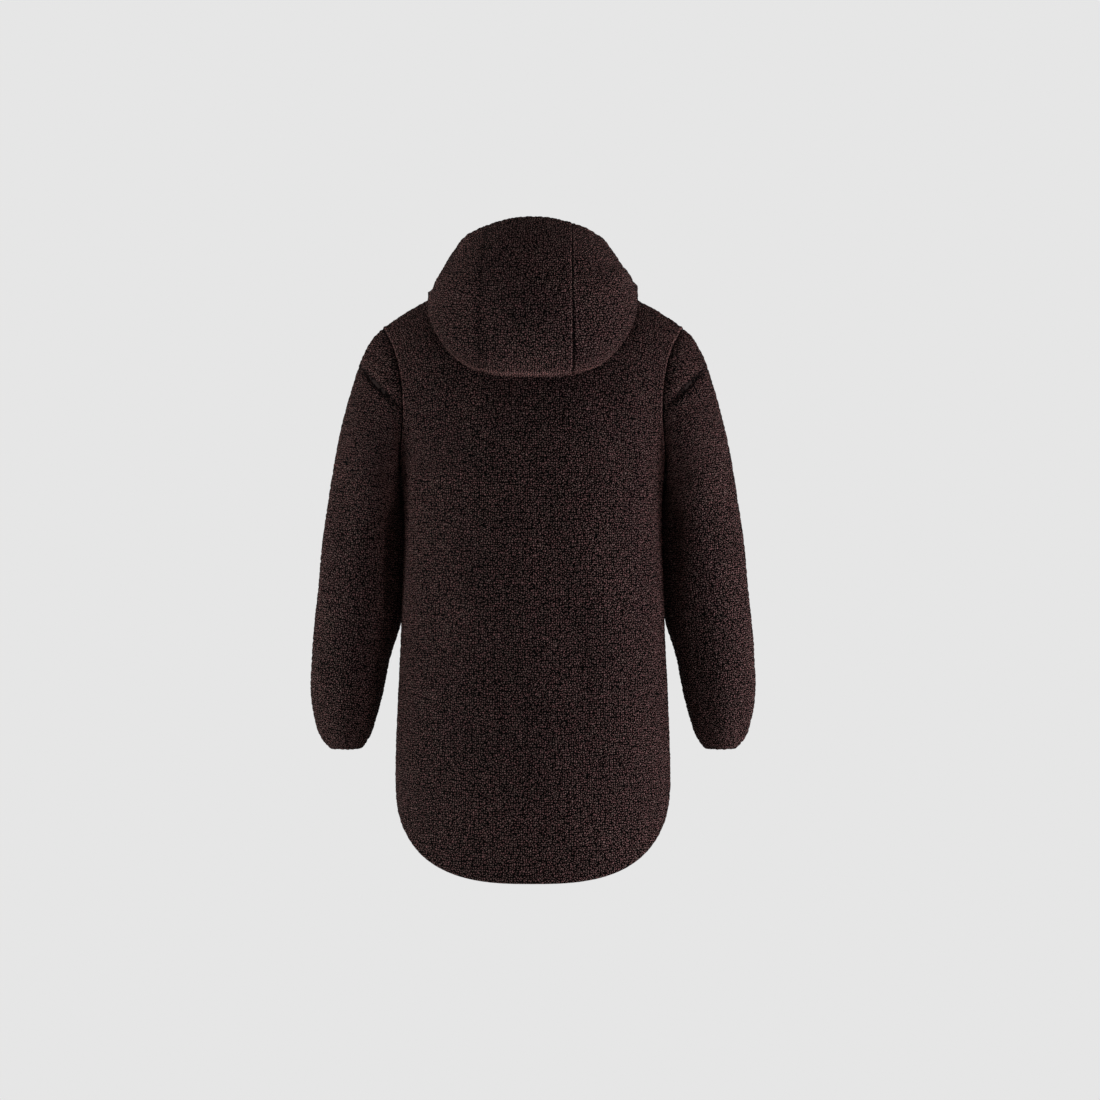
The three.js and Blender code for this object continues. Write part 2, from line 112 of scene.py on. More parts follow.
# Folds on the body: side -1 is the back, lean is degrees from upright. Those with a rise of
# under 3 mm are in this file only, the others are in the solids too.
BODY_FOLDS = table("side x z length width lean rise", [
    (-1, -128, -225, 95, 20, 24, -5),
    (-1, 124, -232, 105, 22, -20, -6),
    (-1, -96, -560, 150, 34, 5, 4),
    (-1, 70, -610, 170, 40, -7, -4),
    (1, -120, -240, 100, 20, 30, -6),
    (1, 132, -228, 90, 22, -26, -5),
    (1, -60, -520, 160, 38, 8, -5),
    (1, 84, -580, 150, 36, -4, 4),
    (-1, -20, -330, 150, 46, 12, 2.0),
    (-1, 40, -430, 120, 30, -16, -1.8),
    (-1, -140, -430, 110, 18, -6, -2.2),
    (-1, 150, -400, 130, 17, 4, -2.4),
    (-1, -30, -735, 90, 34, 9, 1.8),
    (-1, 128, -700, 80, 22, -12, -1.7),
    (1, 10, -300, 120, 40, -10, 2.2),
    (1, -140, -420, 110, 18, 5, -2.2),
    (1, 146, -470, 120, 20, -3, -2.0),
    (1, 30, -720, 90, 30, -7, 1.8),
])
# Small creases of the hood and the sleeve heads, where they face the back; each also gets painted
# shade where it sinks and painted highlight where it rises.
CREASES = table("x z length width lean rise", [
    (-96, 52, 24, 4.5, 23, 4.0),
    (-106, 54, 24, 6, 23, -3.0),
    (79, 66, 12, 4, -35, 3.0),
    (224, -149, 38, 5.5, 45, -4.5),
    (217, -142, 36, 7, 45, 2.4),
    (-224, -149, 38, 5.5, -45, -4.5),
    (-217, -142, 36, 7, -45, 2.4),
    (128, 4, 16, 7, -28, 2.0),
])

# Folds on the sleeves: turn is degrees round from the underarm seam by way of the back.
# Folds over that seam stand twice, a full turn apart.
SLEEVE_FOLDS = table("turn along length width lean rise", [
    (62, 86, 46, 13, 38, -7),
    (38, 150, 60, 14, 24, -5),
    (92, 262, 52, 16, 72, -4),
    (300, 92, 50, 14, -34, -7),
    (268, 250, 48, 16, -68, -4),
    (118, 58, 34, 9, 55, -2.2),
    (70, 318, 44, 11, 66, -2.4),
    (120, 372, 60, 13, 30, 2.2),
    (60, 420, 46, 10, 12, -2.0),
    (150, 200, 70, 14, 10, 2.0),
    (230, 330, 60, 12, -40, -2.4),
    (200, 140, 70, 13, -14, -2.0),
    (285, 400, 50, 11, -20, 2.0),
    (338, 150, 118, 22, 0, 12),
    (-22, 150, 118, 22, 0, 12),
    (336, 58, 40, 26, 0, 16),
    (-24, 58, 40, 26, 0, 16),
    (33, 225, 105, 22, 0, -13),
    (393, 225, 105, 22, 0, -13),
])


# Shapes of the body, the sleeves and the hood.
def curve(places, values, at):
    """Smooth curve through values (one per place, along the first axis), read at at."""
    values = np.asarray(values, float)
    gaps = np.diff(places)
    shape = (-1,) + (1,) * (values.ndim - 1)
    rise = np.diff(values, axis=0) / gaps.reshape(shape)
    before, after = gaps[:-1].reshape(shape), gaps[1:].reshape(shape)
    inner = (after * rise[:-1] + before * rise[1:]) / (before + after)
    slope = np.concatenate([rise[:1], inner, rise[-1:]])
    i = np.clip(np.searchsorted(places, at, side="left") - 1, 0, len(places) - 2)
    span = gaps[i]
    t = (at - places[i]) / span

    def pick(table_of, index):
        if values.ndim == 1:
            return table_of[index]
        return np.take_along_axis(table_of, index[None], axis=0)[0]

    return (pick(values, i) * (2 * t**3 - 3 * t**2 + 1)
            + pick(slope, i) * span * (t**3 - 2 * t**2 + t)
            + pick(values, i + 1) * (3 * t**2 - 2 * t**3)
            + pick(slope, i + 1) * span * (t**3 - t**2))


def quarter_section(steps=720):
    angle = np.linspace(0, np.pi / 2, steps + 1)
    across = np.sin(angle) ** (2 / ROUNDNESS)
    through = np.clip(np.cos(angle), 0, 1) ** (2 / ROUNDNESS)
    pieces = np.hypot(np.diff(across) * GIRTH_HALF, np.diff(through) * GIRTH_DEPTH)
    share = np.concatenate([[0], np.cumsum(pieces)])
    return share / share[-1], across, through


SHARES, ACROSS, THROUGH = quarter_section()
NECK_SHARE = float(np.interp(NECK_HALF / 223.0, ACROSS, SHARES))


def folds(rows, a, b, key_a, key_b):
    rise = np.zeros(np.broadcast(a, b).shape)
    for k in range(len(rows["rise"])):
        lean = np.radians(rows["lean"][k])
        da, db = a - rows[key_a][k], b - rows[key_b][k]
        along = (db * np.cos(lean) + da * np.sin(lean)) / rows["length"][k]
        beside = (da * np.cos(lean) - db * np.sin(lean)) / rows["width"][k]
        rise += rows["rise"][k] * np.exp(-along**2 - beside**2)
    return rise


def body_point(side, share, level):
    side, share, level = np.broadcast_arrays(np.asarray(side, float), share, level)
    across = np.interp(np.abs(share), SHARES, ACROSS)
    through = np.interp(np.abs(share), SHARES, THROUGH)

    def at(name):
        return curve(BODY["level"], BODY[name], level)

    x = np.sign(share) * across * at("half")
    z = at("middle") + (at("edge") - at("middle")) * across**SHOULDER_FALL
    depth = np.where(side < 0, at("back"), at("front"))
    rise = np.zeros(x.shape)
    for hand in (-1, 1):
        mine = {k: v[BODY_FOLDS["side"] == hand] for k, v in BODY_FOLDS.items()}
        rise = np.where(side == hand, folds(mine, x, z, "x", "z"), rise)
    return np.stack([x, side * depth * (1 + rise / GIRTH_DEPTH) * through, z], -1)


def body_normal(side, share, level):
    a = body_point(side, share + 0.004, level) - body_point(side, share - 0.004, level)
    b = body_point(side, share, level + 2) - body_point(side, share, level - 2)
    n = np.cross(a, b) * -np.asarray(side, float)[..., None]
    return n / np.linalg.norm(n, axis=-1, keepdims=True)


def armhole_share(t):
    scoop = ARMHOLE_SCOOP * np.sin(np.pi * t**ARMHOLE_BIAS)
    return 1 - (scoop + ARMHOLE_TIP * t**3)


def hem_level(side, share):
    across = np.interp(np.abs(share), SHARES, ACROSS)
    round_ = np.clip(1 - across**HEM_ROUNDNESS, 0, 1) ** (1 / HEM_ROUNDNESS)
    hollow_depth_and_shade = np.hypot(round_, HEM_NOTCH) - HEM_NOTCH
    return HEM_SIDE - HEM_DROP[side] * hollow_depth_and_shade / (np.hypot(1, HEM_NOTCH) - HEM_NOTCH)


def panel_grid(side, neck, shoulder, below, above):
    """Rows from the hem up; columns across. neck and shoulder count the columns of each."""
    tip = armhole_share(1.0)
    turns = np.radians(np.linspace(-90, 90, neck + 1))
    neck_level = RIDGE - NECK_FALL[side] * np.abs(np.cos(turns))
    out = np.linspace(tip, NECK_SHARE, shoulder + 1)[:-1]
    share = np.concatenate([-out, NECK_SHARE * np.sin(turns), out[::-1]])
    flat = np.full(shoulder, RIDGE)
    level = np.concatenate([flat, neck_level, flat])
    spread = np.linspace(-1, 1, len(share))
    up = (np.arange(below) / below)[:, None]
    low_level = hem_level(side, spread)[None] * (1 - up) + UNDERARM * up
    low_share = np.broadcast_to(spread, low_level.shape)
    t = (np.arange(above + 1) / above)[:, None]
    high_share = (spread * (1 - t) + share / tip * t) * armhole_share(t)
    high_level = UNDERARM * (1 - t) + level * t
    grid = body_point(side, np.concatenate([low_share, high_share]),
                      np.concatenate([low_level, high_level]))
    return grid if side < 0 else grid[:, ::-1]


def sleeve_section(turn, along):
    def at(name):
        return curve(SLEEVE["along"], SLEEVE[name], along)

    tilt = np.radians(at("tilt"))
    rise = folds(SLEEVE_FOLDS, np.degrees(turn), along, "turn", "along")
    thick = (at("thick") + rise) * np.cos(turn)
    return np.stack([at("x") - thick * np.sin(tilt),
                     at("y") - (at("depth") + rise) * np.sin(turn),
                     at("z") - thick * np.cos(tilt)], -1)


def sleeve_grid(hand, around, rings):
    """Rings from the armhole down, each round from the underarm by way of the back."""
    along = np.array(rings, float)[:, None]
    k = np.arange(around)[None]
    turn = k / around * 2 * np.pi
    half = around // 2
    t = np.where(k <= half, k, around - k) / half
    side = np.where(k <= half, -1.0, 1.0)
    hole = body_point(side, armhole_share(t), UNDERARM + (RIDGE - UNDERARM) * t)
    turn, along = np.broadcast_arrays(turn, along)
    s = np.clip(along / SLEEVE_EASE, 0, 1)
    fade = (1 - s * s * (3 - 2 * s))[..., None]
    grid = sleeve_section(turn, along) + (hole - sleeve_section(turn, along * 0)) * fade
    grid[..., 0] *= hand
    return grid[:, ::-1] if hand > 0 else grid


def hood_marks(turn):
    """Where the hood cloth passes at each of its places, for turns round the neck in degrees."""
    back = np.abs(turn) < 90
    sine = np.sin(np.radians(turn))
    cosine = np.abs(np.cos(np.radians(turn)))
    sign = np.where(np.abs(turn) > 179.999, 0.0, np.sign(sine))
    marks = []
    for k in range(len(HOOD_UNDER["at"])):
        row = {name: column[k] for name, column in HOOD_UNDER.items()}
        run = np.where(back, row["fallBack"], -row["fallFront"])
        fall = run * cosine ** row["plan"] + row["backset"] * sine**2
        side = np.where(fall > 0, -1.0, 1.0)
        share = sign * (NECK_SHARE + row["reach"]) * np.abs(sine) ** row["plan"]
        level = RIDGE - np.abs(fall)
        centre = np.where(back, row["liftBack"], row["liftFront"])
        lift = row["liftSide"] + (centre - row["liftSide"]) * cosine**LIFT_SPREAD
        point = body_point(side, share, level)
        if row["at"] > 0:
            point = point + body_normal(side, share, level) * lift[..., None]
        point[..., 2] -= np.where(sign < 0, row["sag"] * sine**6, 0)
        marks.append(point)
    for k in range(len(HOOD_OVER["at"])):
        row = {name: column[k] for name, column in HOOD_OVER.items()}
        end_y = np.where(back, row["backY"], row["frontY"])
        end_z = np.where(back, row["backZ"], row["frontZ"])
        marks.append(np.stack([
            sign * row["half"] * np.abs(sine) ** row["plan"],
            row["sideY"] + (end_y - row["sideY"]) * cosine ** row["plan"],
            row["sideZ"] + (end_z - row["sideZ"]) * cosine ** row["height"]
            - np.where(sign < 0, row["sag"] * sine**6, 0),
        ], -1))
    return np.stack(marks)


def hood_points(turn, at):
    marks = hood_marks(turn)
    return np.stack([curve(HOOD_PLACES, marks[..., k], at) for k in range(3)], -1)


def strip_turn(hand, at):
    """The turn at which the hood cloth is as far out as a strip seam, for each at."""
    target = curve(STRIP_SEAMS["at"], STRIP_SEAMS["right" if hand > 0 else "left"], at)
    low, high = np.zeros(len(at)), np.full(len(at), 80.0)
    for _ in range(26):
        middle = (low + high) / 2
        over = hood_points(middle, at)[:, 0] > target
        high, low = np.where(over, middle, high), np.where(over, low, middle)
    return hand * (low + high) / 2


def hood_turns(piece, at, columns):
    left, right = strip_turn(-1, at), strip_turn(1, at)
    if piece == "hood_centre":
        share = np.linspace(0, 1, columns + 1)[None]
        return left[:, None] * (1 - share) + right[:, None] * share
    hand, seam = (1, right) if piece == "hood_right" else (-1, left)
    near = columns * 3 // 7 // COARSE * COARSE
    share = np.linspace(0, 1, near + 1)[None, :-1]
    first = seam[:, None] * (1 - share) + hand * 90 * share
    far = hand * np.linspace(90, 180, columns - near + 1)
    rest = np.broadcast_to(far, (len(at), len(far)))
    turns = np.concatenate([first, rest], 1)
    return turns if hand > 0 else turns[:, ::-1]


# The pile: curly tufts as a solid pattern of jittered cells.
def random_of(cells, salt):
    h = (cells[..., 0].astype(np.uint32) * np.uint32(73856093)
         ^ cells[..., 1].astype(np.uint32) * np.uint32(19349663)
         ^ cells[..., 2].astype(np.uint32) * np.uint32(83492791)
         ^ np.uint32(salt * 2654435761 % 2**32))
    h = (h ^ (h >> np.uint32(15))) * np.uint32(2246822519)
    h = (h ^ (h >> np.uint32(13))) * np.uint32(3266489917)
    h = h ^ (h >> np.uint32(16))
    return h.astype(np.float32) / np.float32(2**32)


def waves(p, pitch, salt):
    """Smooth solid noise from -1 to 1, from a lattice of random values."""
    q = p / pitch
    cell = np.floor(q).astype(np.int64)
    f = (q - cell).astype(np.float32)
    f = f * f * (3 - 2 * f)
    total = np.zeros(p.shape[:-1], np.float32)
    for dx in (0, 1):
        for dy in (0, 1):
            for dz in (0, 1):
                w = ((f[..., 0] if dx else 1 - f[..., 0])
                     * (f[..., 1] if dy else 1 - f[..., 1])
                     * (f[..., 2] if dz else 1 - f[..., 2]))
                total += w * random_of(cell + np.array([dx, dy, dz]), salt)
    return total * 2 - 1


def tufts(p, pitch, salt):
    """Distance to the nearest and to the next cell centre, in pitches."""
    q = (p / pitch).astype(np.float32)
    cell = np.floor(q).astype(np.int64)
    first = np.full(p.shape[:-1], 9.0, np.float32)
    second = first.copy()
    for dx in (-1, 0, 1):
        for dy in (-1, 0, 1):
            for dz in (-1, 0, 1):
                c = cell + np.array([dx, dy, dz])
                d = np.zeros(p.shape[:-1], np.float32)
                for axis in range(3):
                    centre = c[..., axis] + 0.1 + 0.8 * random_of(c, salt + axis)
                    d += (q[..., axis] - centre.astype(np.float32)) ** 2
                d = np.sqrt(d)
                second = np.minimum(second, np.maximum(first, d))
                first = np.minimum(first, d)
    return first, second


# Spacing and height of the modelled tufts, the height at which the cloth's own surface lies,
# and the painted curls per metre of cloth with how unevenly they are strewn.
PITCH = 6.2
TUFT = 1.7
REST = 0.62
CURLS = 306.0
STRAY = 0.66


def pile_height(p):
    """How high the curls stand, from 0 in a crevice to 1 on a tuft."""
    warp = np.stack([waves(p, 7.0, 11 + k) for k in range(3)], -1)
    q = p * np.array([1.0, 1.0, 0.86]) + 1.5 * warp
    first, second = tufts(q, PITCH, 5)
    dome = np.clip(1 - (first / 0.86) ** 2, 0, 1)
    gap = np.clip((second - first) / 0.42, 0, 1)
    gap = gap * gap * (3 - 2 * gap)
    fine = waves(q, 2.4, 31)
    return np.clip(0.5 * dome + 0.5 * gap * (0.55 + 0.45 * dome) + 0.13 * fine, 0, 1)


# Cloth pieces. A free edge rolls over within this way of its rim.
EDGE_ROLL = 4.5


def bell(d, width):
    """1 at distance 0, falling away smoothly over the width."""
    return np.exp(-((d / width) ** 2))


def unit(v):
    return v / np.maximum(np.linalg.norm(v, axis=-1, keepdims=True), 1e-9)


def grid_normals(grid, closed):
    if closed:
        across = np.roll(grid, -1, 1) - np.roll(grid, 1, 1)
    else:
        across = np.gradient(grid, axis=1)
    along = np.gradient(grid, axis=0)
    return unit(np.cross(across, along))


def edge_distances(grid, closed):
    """Way over the cloth to each grid edge: start, end rows, and first, last columns."""
    down = np.linalg.norm(np.diff(grid, axis=0), axis=-1)
    run = np.concatenate([np.zeros((1, grid.shape[1])), np.cumsum(down, 0)])
    out = {"start": run, "end": run[-1:] - run}
    if not closed:
        over = np.linalg.norm(np.diff(grid, axis=1), axis=-1)
        run = np.concatenate([np.zeros((grid.shape[0], 1)), np.cumsum(over, 1)], 1)
        out.update(first=run, last=run[:, -1:] - run)
    return out


def boundary(grid, closed):
    rows, columns = grid.shape[:2]
    mask = np.zeros((rows, columns), bool)
    mask[[0, -1]] = True
    if not closed:
        mask[:, [0, -1]] = True
    return mask


def share_normals(sheets):
    """Where pieces meet, they take one common outward direction."""
    sums = {}
    for s in sheets:
        mask = boundary(s["grid"], s["closed"])
        s["mask"] = mask
        s["keys"] = [tuple(k) for k in np.round(s["grid"][mask] * 2).astype(int)]
        for key, n in zip(s["keys"], s["normal"][mask]):
            sums[key] = sums.get(key, 0) + n
    for s in sheets:
        s["normal"][s["mask"]] = unit(np.array([sums[k] for k in s["keys"]]))


def cloth_places(grid, closed, order, level_row):
    """Way over the cloth from its middle column and from one row, for every grid point."""
    if closed:
        grid = np.concatenate([grid, grid[:, :1]], 1)
    over = np.linalg.norm(np.diff(grid, axis=1), axis=-1)
    u = np.concatenate([np.zeros((len(grid), 1)), np.cumsum(over, 1)], 1)
    u -= u[:, u.shape[1] // 2][:, None]
    if closed:
        wide = (u[:, -1] - u[:, 0])[:, None]
        u *= np.maximum(wide, 0.75 * wide.max()) / wide
    down = np.linalg.norm(np.diff(grid, axis=0), axis=-1)
    v = np.concatenate([np.zeros((1, grid.shape[1])), np.cumsum(down, 0)])
    v -= v[int(level_row * (len(v) - 1))][None]
    return np.stack([u + 3000 * order, v, 0 * u], -1) * MM


def cloth_mesh(name, s):
    grid, normal, closed = s["grid"], s["normal"], s["closed"]
    rows, columns = grid.shape[:2]
    away = edge_distances(grid, closed)
    height = pile_height(grid)
    calm = np.ones((rows, columns))
    drop = np.zeros((rows, columns))
    painted_groove_shade = np.zeros((rows, columns))
    painted_ridge_highlight = np.zeros((rows, columns))
    for edge in away:
        d = away[edge]
        if edge in s["seams"]:
            line_depth_and_shade, ridge_rise_and_highlight, hollow_depth_and_shade = s["seams"][edge]
            # The seam's groove is sunk and darkened with painted shade, its soft hollow sunk and
            # darkened with painted shade, and the ridge beside it raised and lightened with painted
            # highlight.
            hollow = hollow_depth_and_shade * bell(d, 8.0)
            calm *= 1 - 0.75 * bell(d, 3.2)
            drop -= (0.3 + 0.9 * line_depth_and_shade) * bell(d, 1.9) + 1.2 * hollow
            drop += 0.9 * ridge_rise_and_highlight * bell(d - 2.6, 1.9)
            painted_groove_shade = np.maximum(painted_groove_shade, line_depth_and_shade * bell(d, 1.7))
            painted_groove_shade = np.maximum(painted_groove_shade, 0.6 * hollow)
            painted_ridge_highlight = np.maximum(painted_ridge_highlight, ridge_rise_and_highlight * bell(d - 2.5, 1.6))
        else:
            roll = np.clip(1 - d / EDGE_ROLL, 0, 1)
            drop -= CLOTH * 0.5 * (1 - np.sqrt(np.clip(1 - roll**2, 0, 1)))
            calm *= 1 - 0.35 * bell(d, 4.0)
    # A smooth band calms the pile and also lifts its colour a little, painted highlight.
    smooth_and_highlight = s.get("smooth_and_highlight", 0) * np.ones((rows, columns))
    painted_ridge_highlight = np.maximum(painted_ridge_highlight, s.get("edge", 0) * np.ones((rows, columns)))
    facing = np.clip(-normal[..., 1] * 2, 0, 1)
    crease = folds(CREASES, grid[..., 0], grid[..., 2], "x", "z") * facing
    drop += crease
    # Creases darken the colour where they sink, painted shade, and lighten it where they rise,
    # painted highlight.
    painted_groove_shade = np.maximum(painted_groove_shade, np.clip(-crease / 6, 0, 0.7))
    painted_ridge_highlight = np.maximum(painted_ridge_highlight, np.clip(crease / 6, 0, 0.6))
    calm *= 1 - 0.65 * smooth_and_highlight
    top = grid + normal * (drop + (height - REST) * TUFT * calm)[..., None]
    rough = waves(grid, 38.0, 77) * 0.5 + waves(grid, 15.0, 78) * 0.3
    top += normal * (rough * 0.5 * calm)[..., None]
    low = (grid - normal * CLOTH)[::COARSE, ::COARSE]
    outer = np.arange(rows * columns).reshape(rows, columns)
    low_rows, low_columns = low.shape[:2]
    inner = rows * columns + np.arange(low_rows * low_columns).reshape(low_rows, low_columns)

    def quads(index, flip):
        """The four corners of each cell, of point numbers or of any value per point."""
        if closed and index.shape[1] in (columns, low_columns):
            index = np.concatenate([index, index[:, :1]], 1)
        a, b, c, d = index[:-1, :-1], index[:-1, 1:], index[1:, 1:], index[1:, :-1]
        order = (a, d, c, b) if flip else (a, b, c, d)
        return np.stack(order, 2).reshape((-1, 4) + index.shape[2:])

    rims = []

    def rim(fine, coarse, flip):
        for k in range(len(coarse) - 1):
            face = list(fine[k * COARSE:(k + 1) * COARSE + 1]) + [coarse[k + 1], coarse[k]]
            rims.append(face if flip else face[::-1])

    def ring(index):
        return np.concatenate([index, index[:1]]) if closed else index

    rim(ring(outer[0]), ring(inner[0]), False)
    rim(ring(outer[-1]), ring(inner[-1]), True)
    if not closed:
        rim(outer[:, 0], inner[:, 0], True)
        rim(outer[:, -1], inner[:, -1], False)
    points = np.concatenate([top.reshape(-1, 3), low.reshape(-1, 3)]) * MM
    four = np.concatenate([quads(outer, False), quads(inner, True)])
    loops = np.concatenate([four.ravel(), np.concatenate(rims)]).astype(np.int32)
    sizes = np.concatenate([np.full(len(four), 4), [len(f) for f in rims]])
    starts = np.concatenate([[0], np.cumsum(sizes)[:-1]]).astype(np.int32)
    mesh = bpy.data.meshes.new(name)
    mesh.vertices.add(len(points))
    mesh.vertices.foreach_set("co", points.astype(np.float32).ravel())
    mesh.loops.add(len(loops))
    mesh.loops.foreach_set("vertex_index", loops)
    mesh.polygons.add(len(starts))
    mesh.polygons.foreach_set("loop_start", starts)
    mesh.update(calc_edges=True)
    mesh.shade_smooth()
    extra = len(points) - rows * columns
    fields = {"painted_groove_shade": painted_groove_shade, "painted_ridge_highlight": painted_ridge_highlight, "smooth_and_highlight": smooth_and_highlight}
    for key, field in fields.items():
        value = np.concatenate([field.ravel(), np.zeros(extra)]).astype(np.float32)
        mesh.attributes.new(key, "FLOAT", "POINT").data.foreach_set("value", value)
    place = cloth_places(grid, closed, s["order"], s["level"])
    place_low = cloth_places(low, closed, s["order"], s["level"])
    spots = np.concatenate([quads(place, False), quads(place_low, True)]).reshape(-1, 3)
    spots = np.concatenate([spots, np.zeros((len(loops) - len(spots), 3))]).astype(np.float32)
    mesh.attributes.new("cloth", "FLOAT_VECTOR", "CORNER").data.foreach_set("vector", spots.ravel())
    slots = np.zeros(len(starts), np.int32)
    slots[(rows - 1) * (columns - (0 if closed else 1)):len(four)] = 1
    mesh.polygons.foreach_set("material_index", slots)
    obj = bpy.data.objects.new(name, mesh)
    bpy.context.scene.collection.objects.link(obj)
    return obj


# Materials.
def add(tree, kind, inputs=None, **settings):
    node = tree.nodes.new(kind)
    for key, value in settings.items():
        setattr(node, key, value)
    for key, value in (inputs or {}).items():
        socket = node.inputs[key]
        if isinstance(value, bpy.types.NodeSocket):
            tree.links.new(value, socket)
        else:
            socket.default_value = value
    return node


def ramp(tree, fac, stops):
    node = add(tree, "ShaderNodeValToRGB", {"Fac": fac})
    band = node.color_ramp.elements
    while len(band) < len(stops):
        band.new(0.5)
    for mark, (place, colour) in zip(band, stops):
        mark.position = place
        mark.color = (*colour, 1)
    return node.outputs["Color"]


def maths(tree, kind, a, b):
    return add(tree, "ShaderNodeMath", {0: a, 1: b}, operation=kind).outputs[0]


def times(tree, a, b):
    """Two colours multiplied."""
    return add(tree, "ShaderNodeMix", {0: 1.0, 6: a, 7: b}, data_type="RGBA",
               blend_type="MULTIPLY").outputs[2]


def fresh(name):
    material = bpy.data.materials.new(name)
    material.use_nodes = True
    return material, material.node_tree, material.node_tree.nodes["Principled BSDF"]


def fleece():
    material, tree, shader = fresh("fleece_pile")
    place = add(tree, "ShaderNodeTexCoord").outputs["Object"]
    cloth = add(tree, "ShaderNodeAttribute", attribute_name="cloth").outputs["Vector"]
    painted_groove_shade = add(tree, "ShaderNodeAttribute", attribute_name="painted_groove_shade").outputs["Fac"]
    smooth_and_highlight = add(tree, "ShaderNodeAttribute", attribute_name="smooth_and_highlight").outputs["Fac"]
    painted_ridge_highlight = add(tree, "ShaderNodeAttribute", attribute_name="painted_ridge_highlight").outputs["Fac"]
    drift = add(tree, "ShaderNodeTexNoise", {"Vector": cloth, "Scale": 210.0, "Detail": 1.0},
                noise_dimensions="2D")
    centred = add(tree, "ShaderNodeVectorMath", {0: drift.outputs["Color"], 1: (0.5, 0.5, 0.5)},
                  operation="SUBTRACT").outputs[0]
    bent = add(tree, "ShaderNodeVectorMath", {0: centred, 1: (0.0042, 0.0042, 0), 2: cloth},
               operation="MULTIPLY_ADD").outputs[0]
    curls = add(tree, "ShaderNodeTexVoronoi", {"Vector": bent, "Scale": CURLS, "Randomness": STRAY},
                voronoi_dimensions="2D")
    clefts = add(tree, "ShaderNodeTexVoronoi", {"Vector": bent, "Scale": CURLS, "Randomness": STRAY},
                 voronoi_dimensions="2D", feature="DISTANCE_TO_EDGE")
    fibre = add(tree, "ShaderNodeTexNoise", {"Vector": place, "Scale": 1500.0, "Detail": 1.0})
    patch = add(tree, "ShaderNodeTexNoise", {"Vector": place, "Scale": 11.0, "Detail": 2.0})
    dome = maths(tree, "SUBTRACT", 0.75, curls.outputs["Distance"])
    cleft = add(tree, "ShaderNodeMapRange",
                {"Value": clefts.outputs["Distance"], 1: 0.0, 2: 0.26, 3: 0.0, 4: 1.0},
                interpolation_type="SMOOTHSTEP").outputs[0]
    worm = add(tree, "ShaderNodeTexNoise", {"Vector": cloth, "Scale": 150.0, "Detail": 1.0},
               noise_dimensions="2D")
    join = maths(tree, "MULTIPLY", maths(tree, "SUBTRACT", worm.outputs["Fac"], 0.5), 0.22)
    height = maths(tree, "ADD", maths(tree, "MULTIPLY", cleft, 0.5),
                   maths(tree, "MULTIPLY", dome, 0.67))
    height = maths(tree, "ADD", height, join)
    # painted_light: how high the curls stand, less painted shade in seam grooves and creases, plus
    # painted highlight on ridges and a little on the smooth hood fold.
    painted_light = maths(tree, "SUBTRACT", height, maths(tree, "MULTIPLY", painted_groove_shade, 0.4))
    painted_light = maths(tree, "ADD", painted_light, maths(tree, "MULTIPLY", painted_ridge_highlight, 0.3))
    painted_light = maths(tree, "ADD", painted_light, maths(tree, "MULTIPLY", smooth_and_highlight, 0.08))
    # Colour by painted_light: the near-black in the clefts between curls is painted shade, the
    # bright curl tops are painted highlight, and the middle is the fleece's own dark brown.
    colour = ramp(tree, painted_light, [
        (0.28, (0.0001, 0.0001, 0.0001)),
        (0.54, (0.0010, 0.0004, 0.0003)),
        (0.70, (0.0070, 0.0032, 0.0028)),
        (0.90, (0.1000, 0.0600, 0.0570)),
    ])
    tone = ramp(tree, patch.outputs["Fac"], [
        (0.25, (0.86, 0.85, 0.86)),
        (0.75, (1.14, 1.11, 1.10)),
    ])
    single = add(tree, "ShaderNodeSeparateColor", {"Color": curls.outputs["Color"]}).outputs[0]
    tint = ramp(tree, single, [
        (0.0, (0.90, 1.04, 0.98)),
        (0.5, (1.0, 1.0, 1.0)),
        (1.0, (1.14, 0.96, 1.0)),
    ])
    both = times(tree, times(tree, colour, tint), tone)
    rise = maths(tree, "ADD", height, maths(tree, "MULTIPLY", fibre.outputs["Fac"], 0.15))
    bump = add(tree, "ShaderNodeBump", {"Height": rise, "Strength": 1.0, "Distance": 0.0032})
    tree.links.new(both, shader.inputs["Base Color"])
    tree.links.new(bump.outputs["Normal"], shader.inputs["Normal"])
    sheen = maths(tree, "MULTIPLY", maths(tree, "POWER", painted_light, 4.0), 0.26)
    tree.links.new(sheen, shader.inputs["Sheen Weight"])
    shader.inputs["Roughness"].default_value = 0.92
    shader.inputs["Specular IOR Level"].default_value = 0.04
    shader.inputs["Sheen Roughness"].default_value = 0.32
    shader.inputs["Sheen Tint"].default_value = (0.74, 0.31, 0.26, 1)
    return material


